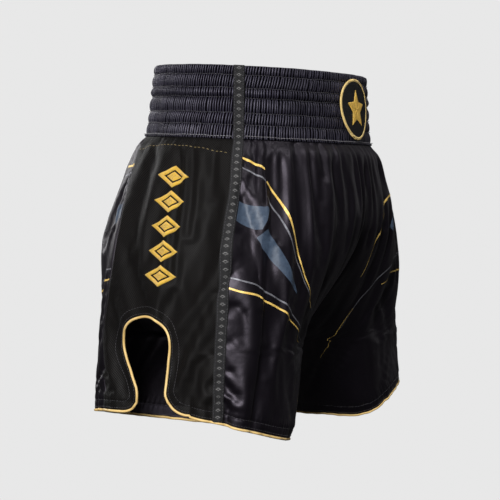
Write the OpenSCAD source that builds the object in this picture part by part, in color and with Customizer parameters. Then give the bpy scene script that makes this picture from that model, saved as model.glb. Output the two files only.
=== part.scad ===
// Thai boxing shorts as worn: a gathered waistband with six elastic channels, satin front
// and back panels, mesh side panels with an arched slit, woven seam tapes and piped hems.
// +X is the wearer's left, -Y the front and +Z up. The origin is the centre of the waist
// opening, level with the top edge of the waistband. Every fabric piece is a closed shell
// between two offsets of one body surface, so neighbouring layers stay clear of each other.

/* [Waistband] */
// Outer width of the waistband, side to side
waist_w = 298; // [270:1:320]
// Outer depth of the waistband, front to back
waist_d = 196; // [180:1:215]
// Height of the waistband, from the top fold to the body seam
band_h = 70.5; // [68:0.5:76]
// Thickness of each elastic tape
elastic_t = 1.4; // [0.8:0.1:1.6]

/* [Body] */
// Width over both legs at the hems
hem_w = 430; // [410:1:450]
// Width of one leg opening
leg_w = 150; // [140:1:160]
// Greatest depth of the seat, front to back
seat_d = 252; // [240:1:260]
// Depth of one leg opening, front to back
leg_d = 200; // [190:1:210]
// Depth of the crotch below the waist
rise = 275; // [266:1:283]
// Mean depth of the hem below the waist
hem_depth = 345; // [337:1:351]
// How much higher the hem is at the side than at the inseam, halved
side_lift = 11.5; // [8:0.5:14]
// How much lower than level the hem hangs at the front of each leg
front_drop = 12.5; // [0:0.5:14]
// Fall of every level line towards the front, in mm per mm
fall = 0.042; // [0:0.002:0.06]
// Thickness of the fabric panels
cloth_t = 0.8; // [0.6:0.1:0.9]

/* [Slit] */
// Radius of the arch at the top of each side slit
slit_r = 28; // [22:1:29]
// Depth of the top of the arch below the waist
slit_top = 242; // [239:1:250]
// How far behind the middle of the body the arch is centred
slit_y = 27; // [20:1:29]
// Radius of the rounded corner where the front edge of the slit meets the hem
corner_front = 24; // [14:1:26]
// Radius of the rounded corner where the rear edge of the slit meets the hem
corner_rear = 16; // [10:1:18]
// Diameter of the piping round the hem and the slit
piping_d = 3; // [2:0.2:3.2]

/* [Trim] */
// Width of the woven seam tapes
tape_w = 10.5; // [8:0.5:12]
// Thickness of the tapes and of the embroidery
trim_t = 0.8; // [0.6:0.1:1]
// Width of the front badge
badge_w = 66; // [58:1:72]
// Height of the front badge
badge_h = 62; // [50:1:63]
// Width of the merrowed border round the badge
badge_rim = 3.5; // [2.5:0.5:5]
// Width of each embroidered lozenge on the side
motif_w = 34; // [26:1:36]
// Height of each embroidered lozenge on the side
motif_h = 21; // [16:1:22]
// Number of embroidered lozenges on each side
motif_n = 5; // [3:1:5]

/* [Hidden] */

// Clear air kept between neighbouring solids
gap = 0.3;
// Depth of the lowest station, just below the mean hem
leg_end = 353;
// Half widths at the crotch and at the hem; the legs meet where the centre is half of it
crotch_half = waist_w / 2 + 0.94 * (hem_w - waist_w) / 2;
flare = (hem_w - waist_w) / 2;
// Stations down the body: [depth, half width, leg centre, half depth, centre in y]
stations = [
    [0, waist_w / 2, 0, waist_d / 2, -2],
    [band_h, waist_w / 2 + 0.1 * flare, 0, waist_d / 2 + 8.5, 1],
    [band_h + 18, waist_w / 2 + 0.28 * flare, 0.02 * crotch_half / 2, 0.91 * seat_d / 2, 1.5],
    [band_h + 52.5, waist_w / 2 + 0.51 * flare, 0.11 * crotch_half / 2, 0.98 * seat_d / 2, 2],
    [band_h + 92.5, waist_w / 2 + 0.71 * flare, 0.38 * crotch_half / 2, seat_d / 2, 5],
    [band_h + 132.5, waist_w / 2 + 0.85 * flare, 0.69 * crotch_half / 2, 0.976 * seat_d / 2, 5],
    [rise, crotch_half, crotch_half / 2, (seat_d + leg_d) / 4 - 1, 6],
    [leg_end, hem_w / 2, (hem_w - leg_w) / 2, leg_d / 2, 6]
];
// Depths of the stitch rows that close the six elastic channels
row_d = [0, 10, 22.5, 32, 46.5, 58, band_h - 1];

// Angles where the side panel meets the front panel and the back panel, by depth
function front_seam(d) = 157 - 10 * d / leg_end + 2 * sin(180 * d / leg_end);
function ease(t) = let (u = max(0, min(1, t))) u * u * (3 - 2 * u);
function rear_seam(d) =
    209 + 14 * pow(max(0, min(1, (168 - d) / 93)), 2) + 13 * ease((d - 168) / 150);
// Depth of the finished hem at angle a
function hem_d(a) =
    hem_depth + side_lift * cos(a) - 2 * sin(a) + front_drop * max(0, (sin(a) - 0.25) / 0.75);

// Column k of the stations at depth d, by a cubic through the stations
function slope(k, i) =
    let (a = max(i - 1, 0), b = min(i + 1, len(stations) - 1))
    (stations[b][k] - stations[a][k]) / (stations[b][0] - stations[a][0]);
function span_at(d, i = 0) =
    (i >= len(stations) - 2 || d < stations[i + 1][0]) ? i : span_at(d, i + 1);
function at(k, d) =
    let (i = span_at(d))
    let (h = stations[i + 1][0] - stations[i][0])
    let (u = (d - stations[i][0]) / h)
    (2 * u - 3) * u * u * (stations[i][k] - stations[i + 1][k]) + stations[i][k]
    + (u - 1) * (u - 1) * u * h * slope(k, i) + (u - 1) * u * u * h * slope(k, i + 1);

// Radii of the right leg's level section, and a point on it: a is 0 at the inseam, 90 in
// front, 180 at the side and 270 behind; out is the distance outside the body surface
function rad_x(d, out) = at(1, d) - at(2, d) + out;
function rad_y(d, out) = at(3, d) + out;
function skin(a, d, out) =
    let (y = at(4, d) - rad_y(d, out) * sin(a))
    [rad_x(d, out) * cos(a) - at(2, d), y, fall * y - d];
// Angle at which the right half reaches the centre seam, or the inseam below the crotch
function centre_angle(d, out) =
    max(0.2, acos(min(1, (at(2, d) - gap / 2) / rad_x(d, out))));
// Angle covered at (a, d) by a length of w along the surface
function arc(a, d, w) =
    w * 180 / PI / norm([rad_x(d, 0) * sin(a), rad_y(d, 0) * cos(a)]);
// Point of the side wall at y and z
function side_angle(y, z) =
    180 - asin((at(4, fall * y - z) - y) / rad_y(fall * y - z, 0));
function side_point(y, z, out) = skin(side_angle(y, z), fall * y - z, out);
function mix(a, b, t) = a + (b - a) * t;
function unit(v) = v / norm(v);

// Solid between two grids of points; rows run down and columns run with the angle
module shell(outer, inner) {
    rows = len(outer);
    cols = len(outer[0]);
    function p(i, j) = i * cols + j;
    function q(i, j) = (rows + i) * cols + j;
    faces = [
        for (i = [0 : rows - 2], j = [0 : cols - 2]) each [
            [p(i, j), p(i + 1, j), p(i + 1, j + 1)], [p(i, j), p(i + 1, j + 1), p(i, j + 1)],
            [q(i, j), q(i + 1, j + 1), q(i + 1, j)], [q(i, j), q(i, j + 1), q(i + 1, j + 1)]],
        for (j = [0 : cols - 2]) each [
            [p(0, j), p(0, j + 1), q(0, j + 1)], [p(0, j), q(0, j + 1), q(0, j)],
            [p(rows - 1, j + 1), p(rows - 1, j), q(rows - 1, j)],
            [p(rows - 1, j + 1), q(rows - 1, j), q(rows - 1, j + 1)]],
        for (i = [0 : rows - 2]) each [
            [p(i + 1, 0), p(i, 0), q(i, 0)], [p(i + 1, 0), q(i, 0), q(i + 1, 0)],
            [p(i, cols - 1), p(i + 1, cols - 1), q(i + 1, cols - 1)],
            [p(i, cols - 1), q(i + 1, cols - 1), q(i, cols - 1)]]
    ];
    polyhedron([for (row = outer) each row, for (row = inner) each row], faces);
}

// Closed solid through rings of points, where the last ring joins the first
module loop(rings) {
    n = len(rings);
    m = len(rings[0]);
    function p(i, j) = (i % n) * m + j % m;
    faces = [for (i = [0 : n - 1], j = [0 : m - 1]) each [
        [p(i, j), p(i + 1, j), p(i + 1, j + 1)], [p(i, j), p(i + 1, j + 1), p(i, j + 1)]]];
    polyhedron([for (ring = rings) each ring], faces);
}

// Part of the surface between two offsets, with straight sides in angle and depth
module wrap(a0, a1, d0, d1, low, high, cols, rows) {
    function grid(out) = [for (i = [0 : rows]) [for (j = [0 : cols])
        skin(mix(a0, a1, j / cols), mix(d0, d1, i / rows), out)]];
    shell(grid(high), grid(low));
}

// Ring round the waist with a profile of [out, depth] points
waist_steps = 48;
module waist_ring(profile) {
    loop([for (i = [0 : waist_steps - 1])
        [for (v = profile) skin(360 * i / waist_steps, v[1], v[0])]]);
}

// Offsets of the casing's two walls, at a stitch row and over an elastic
wall_t = 0.9;
full = [0, -elastic_t - 3.2];
mid_wall = full[1] / 2;
pinch = [mid_wall + wall_t + gap / 2, mid_wall - wall_t - gap / 2];
// Distance from a stitch row to the flat of its channel
rolloff = 2;
// Wall points down the channels: 1 for the channel flat, 0 for a stitch row
wall_steps = [for (i = [1 : 6]) each
    [[row_d[i - 1] + rolloff, 1], [row_d[i] - rolloff, 1], [row_d[i], 0]]];
function wall(outside, inset) =
    [for (s = wall_steps) [(s[1] == 1 ? full : pinch)[outside ? 0 : 1] + inset, s[0]]];
function reversed(v) = [for (i = [len(v) - 1 : -1 : 0]) v[i]];

// Folded casing: an inverted U whose walls nearly meet at each stitch row
module waistband_casing() {
    fold = [[full[0], rolloff], [-1.2, 0], [full[1] + 1.2, 0]];
    color("#2c2932")
    waist_ring(concat(
        reversed(wall(true, 0)), [fold[1], fold[2]],
        wall(false, 0), reversed(wall(false, wall_t)), wall(true, -wall_t)));
}

// One flat elastic in its channel
module elastic_tape(i) {
    top = row_d[i - 1] + rolloff + 0.6;
    low = row_d[i] - rolloff - 0.6;
    color("#e9e6df")
    waist_ring([[mid_wall + elastic_t / 2, low], [mid_wall + elastic_t / 2, top],
                [mid_wall - elastic_t / 2, top], [mid_wall - elastic_t / 2, low]]);
}

// Rows of the body panels, from under the waistband to the hem; below the crotch they
// bend towards the hem line
hem_trim = piping_d / 2 + gap;
top_d = band_h + 0.6;
panel_rows = [for (k = [0 : 8]) mix(top_d, rise, k / 8), for (k = [1 : 4]) mix(rise, leg_end, k / 4)];
function bent(d, a) =
    d <= rise ? d : mix(rise, hem_d(a) - hem_trim, (d - rise) / (leg_end - rise));
module panel(start, end, cols) {
    function grid(out) = [for (d = panel_rows) [for (j = [0 : cols])
        let (a = mix(start(d, out), end(d, out), j / cols)) skin(a, bent(d, a), out)]];
    shell(grid(0), grid(-cloth_t));
}
// Half of the air at a seam, as an angle
seam_air = 0.15;

module front_panel() {
    color("#242029")
    panel(function (d, out) centre_angle(d, out), function (d, out) front_seam(d) - seam_air, 9);
}

module back_panel() {
    color("#242029")
    panel(function (d, out) rear_seam(d) + seam_air, function (d, out) 360 - centre_angle(d, out), 9);
}

// Outline of the slit in y and z, larger by grow: the arch, then down each edge and out
// round its corner to the hem
edge_d = hem_depth - side_lift;
rear_in = 19;
front_in = 2.5;
function slit_path(grow) =
    let (r = slit_r + grow, cf = corner_front - grow, cr = corner_rear - grow)
    let (zc = -slit_top - slit_r, zf = corner_front - edge_d, zr = corner_rear - edge_d)
    let (yf = slit_y - slit_r + front_in - grow, yr = slit_y + slit_r - rear_in + grow)
    concat(
        [for (t = [90 : -15 : 0]) [yf - cf * (1 - cos(t)), zf - cf * sin(t)]],
        [for (u = [0.25 : 0.25 : 0.75]) [mix(yf, slit_y - r, ease(u)), mix(zf, zc, u)]],
        [for (t = [180 : -15 : 0]) [slit_y + r * cos(t), zc + r * sin(t)]],
        [for (u = [0.25 : 0.25 : 0.75]) [mix(slit_y + r, yr, ease(u)), mix(zc, zr, u)]],
        [for (t = [0 : 15 : 90]) [yr + cr * (1 - cos(t)), zr - cr * sin(t)]]);

// Prism along X through the right side wall
module side_prism(depth = 90) {
    translate([-hem_w / 2 - 20, 0, 0])
    rotate([90, 0, 90])
    linear_extrude(depth)
    children();
}

module side_panel() {
    path = slit_path(hem_trim);
    below = -leg_end - 20;
    color("#33313a")
    difference() {
        panel(function (d, out) front_seam(d) + seam_air, function (d, out) rear_seam(d) - seam_air, 8);
        side_prism() polygon(concat(path, [[path[len(path) - 1][0], below], [path[0][0], below]]));
    }
}

// Height of the crotch saddle over (x, y), found by halving between two depths
function inside_leg(x, y, d) =
    pow((at(2, d) - x) / rad_x(d, 0), 2) + pow((y - at(4, d)) / rad_y(d, 0), 2) < 1;
function saddle(x, y, low = 200, high = 340, n = 14) =
    let (mid = (low + high) / 2)
    n == 0 ? fall * y - mid
    : inside_leg(x, y, mid) ? saddle(x, y, mid, high, n - 1) : saddle(x, y, low, mid, n - 1);

// Reinforcing gusset laid over the crotch inside the shorts
gusset_half = 18;
gusset_len = 84;
module crotch_gusset() {
    air = 2.2;
    function grid(up) = [for (i = [0 : 12]) [for (j = [0 : 8])
        let (x = gusset_half * (1 - j / 4), y = gusset_len * (i / 12 - 0.5) + at(4, rise))
        [x, y, saddle(abs(x), y) + up]]];
    color("#242029")
    shell(grid(air + 1.2), grid(air));
}

// Woven tape over a seam, from the waistband's top to the hem
module seam_tape(seam) {
    start_d = 1;
    rows = 20;
    function grid(out) = [for (i = [0 : rows])
        let (d = mix(start_d, hem_d(seam(leg_end)) - hem_trim, i / rows))
        let (a = seam(d), half = arc(a, d, tape_w / 2))
        [for (j = [-1 : 1]) skin(a + j * half, d, out)]];
    color("#4b4e52")
    shell(grid(2 * gap + trim_t), grid(2 * gap));
}

// Turned hem inside the leg, from one corner of the slit round to the other
facing_h = 11;
module hem_facing() {
    path = slit_path(0);
    a_front = side_angle(path[0][0], path[0][1]);
    a_rear = side_angle(path[len(path) - 1][0], path[len(path) - 1][1]);
    cols = 44;
    function grid(out) = [for (d = [hem_trim + facing_h, hem_trim])
        [for (j = [0 : cols]) let (a = mix(a_rear - 360, a_front, j / cols)) skin(a, hem_d(a) - d, out)]];
    color("#1d1a21")
    shell(grid(-cloth_t - gap), grid(-2 * cloth_t - gap));
}

// Piping round the leg opening and the slit, as one closed tube
piping_sides = 8;
module hem_piping() {
    path = slit_path(0);
    a_front = side_angle(path[0][0], path[0][1]);
    a_rear = side_angle(path[len(path) - 1][0], path[len(path) - 1][1]);
    mid_out = -cloth_t / 2;
    hem_steps = 60;
    line = concat(
        [for (v = path) side_point(v[0], v[1], mid_out)],
        [for (k = [1 : hem_steps - 1])
            let (a = mix(a_rear, a_front + 360, k / hem_steps)) skin(a, hem_d(a), mid_out)]);
    n = len(line);
    color("#d9b45a")
    loop([for (i = [0 : n - 1])
        let (along = unit(line[(i + 1) % n] - line[(i + n - 1) % n]))
        let (centre = [-at(2, -line[i][2]), at(4, -line[i][2]), line[i][2]])
        let (flat = line[i] - centre)
        let (normal = unit(flat - (flat * along) * along))
        let (across = cross(along, normal))
        [for (j = [0 : piping_sides - 1]) let (t = 360 * j / piping_sides)
            line[i] + piping_d / 2 * (cos(t) * normal + sin(t) * across)]]);
}

// Five open lozenges, each with a small solid one inside it
motif_pitch = 23.7;
motif_first = 109;
motif_y = 12;
stroke = 4.2;
module lozenge(w, h) {
    polygon([[w / 2, 0], [0, h / 2], [-w / 2, 0], [0, -h / 2]]);
}
module side_embroidery() {
    color("#e0b23c")
    intersection() {
        wrap(165, 204, motif_first - 16, motif_first + 4 * motif_pitch + 16, 2 * gap, 2 * gap + trim_t, 8, 14);
        side_prism()
        for (k = [0 : motif_n - 1]) {
            translate([motif_y, -motif_first - k * motif_pitch]) {
                difference() {
                    lozenge(motif_w, motif_h);
                    lozenge(motif_w - 3.2 * stroke, motif_h - 2 * stroke);
                }
                lozenge(motif_w - 4.4 * stroke, motif_h - 2.8 * stroke);
            }
        }
    }
}

// Front badge: a curved patch, its merrowed border and a plain five-pointed star
badge_d = 36.5;
badge_steps = 48;
// Share by which the badge is wider above its middle than below
badge_taper = 0.14;
function oval(w, h) =
    [for (i = [0 : badge_steps - 1]) let (t = 360 * i / badge_steps)
        [w / 2 * cos(t) * (1 + badge_taper * sin(t)), h / 2 * sin(t)]];
module front_prism() {
    translate([0, 0, -badge_d])
    rotate([90, 0, 0])
    linear_extrude(waist_d)
    children();
}
module badge_layer(low, thick) {
    intersection() {
        wrap(73, 107, 1, band_h - 1, low, low + thick, 8, 6);
        front_prism() children();
    }
}
patch_low = 2 * gap;
patch_t = 1;
module badge_patch() {
    color("#17161a")
    badge_layer(patch_low, patch_t) polygon(oval(badge_w - 2 * badge_rim - 2 * gap, badge_h - 2 * badge_rim - 2 * gap));
}
module badge_border() {
    color("#d9b45a")
    badge_layer(patch_low, patch_t + 0.8)
    difference() {
        polygon(oval(badge_w, badge_h));
        polygon(oval(badge_w - 2 * badge_rim, badge_h - 2 * badge_rim));
    }
}
star_r = 21;
module badge_emblem() {
    color("#e0b23c")
    badge_layer(patch_low + patch_t + gap, trim_t)
    polygon([for (i = [0 : 9]) let (r = i % 2 == 0 ? star_r : star_r * 0.5)
        [r * sin(36 * i), r * cos(36 * i)]]);
}

// Folded satin labels inside the back of the waistband: two leaves joined by a fold
module label(w, h, top) {
    leaf = 0.4;
    air = 0.5;
    wall_y = skin(270, top + h, full[1] - 1.4)[1] - 0.6;
    color("#f2f0ea")
    translate([-w / 2, wall_y, fall * wall_y - top])
    rotate([90, 0, 90])
    linear_extrude(w)
    polygon([[0, 0], [-leaf, 0], [-leaf, leaf - h], [-leaf - air, leaf - h], [-leaf - air, 0],
             [-2 * leaf - air, 0], [-2 * leaf - air, -h], [0, -h]]);
}
module size_label() {
    label(16, 13, 12);
}
module care_label() {
    label(26, 30, 30);
}

waistband_casing();
elastic_tape(1);  // elastic_tape_1
elastic_tape(2);  // elastic_tape_2
elastic_tape(3);  // elastic_tape_3
elastic_tape(4);  // elastic_tape_4
elastic_tape(5);  // elastic_tape_5
elastic_tape(6);  // elastic_tape_6
badge_patch();
badge_border();
badge_emblem();
front_panel();  // front_panel_right
mirror([1, 0, 0]) front_panel();  // front_panel_left
back_panel();  // back_panel_right
mirror([1, 0, 0]) back_panel();  // back_panel_left
side_panel();  // side_panel_right
mirror([1, 0, 0]) side_panel();  // side_panel_left
crotch_gusset();
seam_tape(function (d) front_seam(d));  // tape_front_right
mirror([1, 0, 0]) seam_tape(function (d) front_seam(d));  // tape_front_left
hem_facing();  // hem_facing_right
mirror([1, 0, 0]) hem_facing();  // hem_facing_left
hem_piping();  // hem_piping_right
mirror([1, 0, 0]) hem_piping();  // hem_piping_left
side_embroidery();  // side_embroidery_right
mirror([1, 0, 0]) side_embroidery();  // side_embroidery_left
size_label();
care_label();
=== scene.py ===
"""Thai boxing shorts: satin, mesh, gathered waistband, tapes, piping and embroidery.

The body surface is the CAD model's own: one level oval for each leg. The cloth starts on that
surface, is relaxed by a cloth simulation, and every seam, tape, print and stitch is then laid
on the relaxed cloth. Lengths are in millimetres until a mesh is made.
"""
import math

import bpy
import numpy as np
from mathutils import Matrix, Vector
from mathutils.bvhtree import BVHTree


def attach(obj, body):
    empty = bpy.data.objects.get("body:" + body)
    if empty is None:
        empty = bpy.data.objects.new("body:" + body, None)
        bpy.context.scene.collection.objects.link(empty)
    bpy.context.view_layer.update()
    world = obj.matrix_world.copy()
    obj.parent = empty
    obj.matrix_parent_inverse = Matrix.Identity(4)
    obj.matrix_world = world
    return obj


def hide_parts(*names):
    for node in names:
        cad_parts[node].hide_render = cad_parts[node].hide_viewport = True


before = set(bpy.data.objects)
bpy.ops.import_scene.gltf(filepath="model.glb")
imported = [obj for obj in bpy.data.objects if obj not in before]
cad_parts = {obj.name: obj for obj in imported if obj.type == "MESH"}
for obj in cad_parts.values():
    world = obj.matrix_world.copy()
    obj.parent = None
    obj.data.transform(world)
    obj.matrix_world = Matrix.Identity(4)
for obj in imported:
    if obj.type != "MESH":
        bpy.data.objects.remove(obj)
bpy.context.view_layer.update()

MM = 0.001
RIGHT, LEFT = -1, 1
SIDES = {RIGHT: "right", LEFT: "left"}

# ------------------------------------------------------------ body surface, as in the CAD
WAIST_W, WAIST_D, BAND_H = 298.0, 196.0, 70.5
HEM_W, LEG_W, SEAT_D, LEG_D = 430.0, 150.0, 252.0, 200.0
RISE, HEM_DEPTH, SIDE_LIFT, FRONT_DROP, FALL = 275.0, 345.0, 11.5, 12.5, 0.042
SLIT_R, SLIT_TOP, SLIT_Y, CORNER_FRONT, CORNER_REAR = 28.0, 242.0, 27.0, 24.0, 16.0
SLIT_REAR_IN, SLIT_FRONT_IN = 19.0, 2.5
LEG_END = 353.0
FLARE = (HEM_W - WAIST_W) / 2
CROTCH_HALF = WAIST_W / 2 + 0.94 * FLARE
# depth, half width, leg centre, half depth, centre in y
STATIONS = np.array([
    [0, WAIST_W / 2, 0, WAIST_D / 2, -2],
    [BAND_H, WAIST_W / 2 + 0.1 * FLARE, 0, WAIST_D / 2 + 8.5, 1],
    [BAND_H + 18, WAIST_W / 2 + 0.28 * FLARE, 0.02 * CROTCH_HALF / 2, 0.91 * SEAT_D / 2, 1.5],
    [BAND_H + 52.5, WAIST_W / 2 + 0.51 * FLARE, 0.11 * CROTCH_HALF / 2, 0.98 * SEAT_D / 2, 2],
    [BAND_H + 92.5, WAIST_W / 2 + 0.71 * FLARE, 0.38 * CROTCH_HALF / 2, SEAT_D / 2, 5],
    [BAND_H + 132.5, WAIST_W / 2 + 0.85 * FLARE, 0.69 * CROTCH_HALF / 2, 0.976 * SEAT_D / 2, 5],
    [RISE, CROTCH_HALF, CROTCH_HALF / 2, (SEAT_D + LEG_D) / 4 - 1, 6],
    [LEG_END, HEM_W / 2, (HEM_W - LEG_W) / 2, LEG_D / 2, 6],
])


def station(k, depth):
    """Column k of the stations at a depth, by a cubic through them."""
    x, y = STATIONS[:, 0], STATIONS[:, k]
    n = len(x)
    before = np.maximum(np.arange(n) - 1, 0)
    after = np.minimum(np.arange(n) + 1, n - 1)
    slope = (y[after] - y[before]) / (x[after] - x[before])
    i = np.clip(np.searchsorted(x, depth, side="right") - 1, 0, n - 2)
    h = x[i + 1] - x[i]
    u = (depth - x[i]) / h
    return ((2 * u - 3) * u * u * (y[i] - y[i + 1]) + y[i]
            + (u - 1) ** 2 * u * h * slope[i] + (u - 1) * u * u * h * slope[i + 1])


def sind(a):
    return np.sin(np.radians(a))


def cosd(a):
    return np.cos(np.radians(a))


def smooth(t):
    t = np.clip(t, 0, 1)
    return t * t * (3 - 2 * t)


def bump(x, centre, half):
    """Smooth hill of height 1 that reaches 0 at half either side of the centre."""
    return smooth(1 - np.abs(x - centre) / half)


def unit(v):
    return v / np.maximum(np.linalg.norm(v, axis=-1, keepdims=True), 1e-9)


def pair(a, b):
    return np.broadcast_arrays(np.asarray(a, float), np.asarray(b, float))


def skin(angle, depth, out=0.0):
    """Point of the right half: 0 is the inseam, 90 the front, 180 the side, 270 behind."""
    angle, depth = pair(angle, depth)
    y = station(4, depth) - (station(3, depth) + out) * sind(angle)
    x = (station(1, depth) - station(2, depth) + out) * cosd(angle) - station(2, depth)
    return np.stack([x, y, FALL * y - depth], -1)


def skin_normal(angle, depth):
    return unit(skin(angle, depth, 1.0) - skin(angle, depth, 0.0))


def arc(angle, depth):
    """Millimetres along the surface for one degree of angle."""
    rx = station(1, depth) - station(2, depth)
    return np.hypot(rx * sind(angle), station(3, depth) * cosd(angle)) * math.pi / 180


def front_seam(depth):
    return 157 - 10 * depth / LEG_END + 2 * sind(180 * depth / LEG_END)


def rear_seam(depth):
    return 209 + 14 * np.clip((168 - depth) / 93, 0, 1) ** 2 + 13 * smooth((depth - 168) / 150)


def centre_angle(depth):
    ratio = station(2, depth) / (station(1, depth) - station(2, depth))
    return np.degrees(np.arccos(np.clip(ratio, -1, 1)))


def hem_depth(angle):
    drop = FRONT_DROP * np.maximum(0, (sind(angle) - 0.25) / 0.75)
    return HEM_DEPTH + SIDE_LIFT * cosd(angle) - 2 * sind(angle) + drop


def side_param(y, z):
    """Angle and depth of the side wall's point at y and z."""
    depth = FALL * y - z
    return 180 - np.degrees(np.arcsin((station(4, depth) - y) / station(3, depth))), depth


def slit_path():
    """Outline of the slit in y and z, from its front corner at the hem to its rear corner."""
    edge = HEM_DEPTH - SIDE_LIFT
    top, low_front, low_rear = -SLIT_TOP - SLIT_R, CORNER_FRONT - edge, CORNER_REAR - edge
    front, rear = SLIT_Y - SLIT_R + SLIT_FRONT_IN, SLIT_Y + SLIT_R - SLIT_REAR_IN
    corner = np.linspace(90, 0, 13)
    arch = np.linspace(180, 0, 41)
    u = np.linspace(0, 1, 14)[1:-1]
    parts = [
        np.stack([front - CORNER_FRONT * (1 - cosd(corner)), low_front - CORNER_FRONT * sind(corner)], -1),
        np.stack([front + (SLIT_Y - SLIT_R - front) * smooth(u), low_front + (top - low_front) * u], -1),
        np.stack([SLIT_Y + SLIT_R * cosd(arch), top + SLIT_R * sind(arch)], -1),
        np.stack([SLIT_Y + SLIT_R + (rear - SLIT_Y - SLIT_R) * smooth(u), top + (low_rear - top) * u], -1),
        np.stack([rear + CORNER_REAR * (1 - cosd(corner[::-1])),
                  low_rear - CORNER_REAR * sind(corner[::-1])], -1)]
    return np.concatenate(parts)


# ------------------------------------------------------------ cloth grid over one half
ROWS_HIP, ROWS_LEG = 36, 13
COLS_FRONT, COLS_SIDE, COLS_BACK = 34, 18, 34
ROWS = ROWS_HIP + ROWS_LEG
COL_REAR = COLS_FRONT + COLS_SIDE
COLS = COL_REAR + COLS_BACK
FINE = 4


def row_depth(row):
    """Nominal depth of a row: even to the crotch, then even to the hem."""
    return np.where(row <= ROWS_HIP, BAND_H + (RISE - BAND_H) * row / ROWS_HIP,
                    RISE + (LEG_END - RISE) * (row - ROWS_HIP) / ROWS_LEG)


def col_angle(row, col):
    d = row_depth(row)
    first, fs, rs = centre_angle(d), front_seam(d), rear_seam(d)
    return np.where(
        col <= COLS_FRONT, first + (fs - first) * col / COLS_FRONT,
        np.where(col <= COL_REAR, fs + (rs - fs) * (col - COLS_FRONT) / COLS_SIDE,
                 rs + (360 - first - rs) * (col - COL_REAR) / COLS_BACK))


def true_depth(row, angle):
    """Depth of a row at an angle; rows below the crotch bend towards the hem."""
    d = row_depth(row)
    share = (d - RISE) / (LEG_END - RISE)
    return np.where(d <= RISE, d, RISE + share * (hem_depth(angle) - RISE))


def place(angle, depth):
    """Row and column of a surface point given by angle and depth."""
    angle, depth = pair(angle, depth)
    angle = angle % 360
    share = (depth - RISE) / (hem_depth(angle) - RISE)
    row = np.where(depth <= RISE, (depth - BAND_H) / (RISE - BAND_H) * ROWS_HIP,
                   ROWS_HIP + share * ROWS_LEG)
    d = row_depth(row)
    first, fs, rs = centre_angle(d), front_seam(d), rear_seam(d)
    front = (angle - first) / (fs - first) * COLS_FRONT
    middle = COLS_FRONT + (angle - fs) / (rs - fs) * COLS_SIDE
    back = COL_REAR + (angle - rs) / (360 - first - rs) * COLS_BACK
    return row, np.where(angle <= fs, front, np.where(angle <= rs, middle, back))


# ------------------------------------------------------------ folds that the cloth starts with
# millimetres for one degree of angle, on average all round and near the side seams
ROUND_MM, SIDE_MM = 2.25, 2.1


def valley(angle, depth):
    """How far the cloth between the legs sinks towards the crotch, in mm."""
    deep = np.interp(depth, [153, 203, 238, 265, 303, 345], [0, 13, 27, 28, 15, 3])
    across = smooth((angle - 12) / 40) * smooth((122 - angle) / 34)
    seat = np.interp(depth, [173, 233, 265, 303, 345], [0, 8, 12, 8, 0])
    behind = smooth((348 - angle) / 40) * smooth((angle - 245) / 34)
    return deep * across - seat * behind


def crease(angle, depth, start, end, width, height):
    """Ridge of a given half width and height along a line between two surface points."""
    (a0, d0), (a1, d1) = start, end
    scale = 2.0
    dx, dy = (a1 - a0) * scale, d1 - d0
    px, py = (angle - a0) * scale, depth - d0
    length = math.hypot(dx, dy)
    along = (px * dx + py * dy) / length
    off = (px * dy - py * dx) / length
    ends = smooth(along / 30 + 0.5) * smooth((length - along) / 30 + 0.5)
    return height * np.exp(-(off / width) ** 2) * ends


# start (angle, depth), end (angle, depth), half width, height
CREASES = {
    RIGHT: [
        ((128, 79), (124, 193), 9, -1.3), ((116, 81), (112, 178), 11, 1.3),
        ((103, 81), (101, 163), 10, -0.9), ((136, 335), (134, 215), 9, 2.2),
        ((127, 350), (126, 235), 7, -2.0), ((118, 350), (117, 225), 9, 2.0),
        ((180, 241), (158, 133), 10, -3.2), ((174, 258), (148, 168), 8, 3.4),
        ((172, 285), (150, 195), 7, -3.2), ((169, 303), (154, 222), 7, 3.0),
        ((166, 330), (157, 250), 7, -2.0), ((197, 233), (205, 123), 9, -2.2),
        ((100, 203), (80, 265), 9, 2.0),
    ],
    LEFT: [
        ((138, 83), (134, 193), 9, 1.8), ((124, 79), (120, 183), 8, -1.8),
        ((110, 81), (106, 183), 9, 1.8), ((96, 81), (94, 173), 8, -1.4),
        ((142, 303), (120, 203), 10, -2.4), ((130, 343), (126, 233), 9, 2.4),
        ((112, 338), (100, 223), 9, -2.6), ((100, 193), (78, 265), 10, 2.6),
        ((180, 241), (158, 133), 10, -2.8), ((174, 253), (148, 163), 8, 3.0),
        ((197, 233), (205, 123), 9, -2.2), ((166, 323), (156, 213), 8, -2.2),
    ],
}
BACK_CREASES = [
    ((236, 83), (240, 193), 10, 2.2), ((250, 81), (252, 183), 9, -2.0),
    ((264, 83), (266, 173), 10, 2.0),
    ((246, 338), (240, 218), 10, -2.4), ((262, 333), (268, 223), 10, 2.4),
    ((278, 203), (300, 265), 10, 2.2), ((228, 213), (250, 258), 9, -2.0),
]
# soft fold beside the front tape: its depths, angles and heights
FOLD_DEPTH = [78, 95, 112, 135, 168, 214, 260, 300, 345]
FOLD_ANGLE = [146, 144.5, 143.5, 142, 139.5, 136, 133.5, 132, 131]
FOLD_HEIGHT = [0, 2.5, 4.5, 6.0, 6.0, 4.5, 3.0, 2.5, 1.5]


def side_fold(angle, depth):
    """Ridge that rises slowly from the tape and drops sharply on its far side."""
    crest = np.interp(depth, FOLD_DEPTH, FOLD_ANGLE)
    height = np.interp(depth, FOLD_DEPTH, FOLD_HEIGHT)
    off = (angle - crest) * SIDE_MM
    rise = smooth((front_seam(depth) - 2.5 - angle) * SIDE_MM / 24) ** 1.3
    return height * np.where(off > 0, rise, smooth(1 + off / 6.5))


GATHER_WAVES = [(21.0, 1.5, 0.4), (13.5, 1.0, 2.1), (9.4, 0.6, 4.0)]


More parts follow.
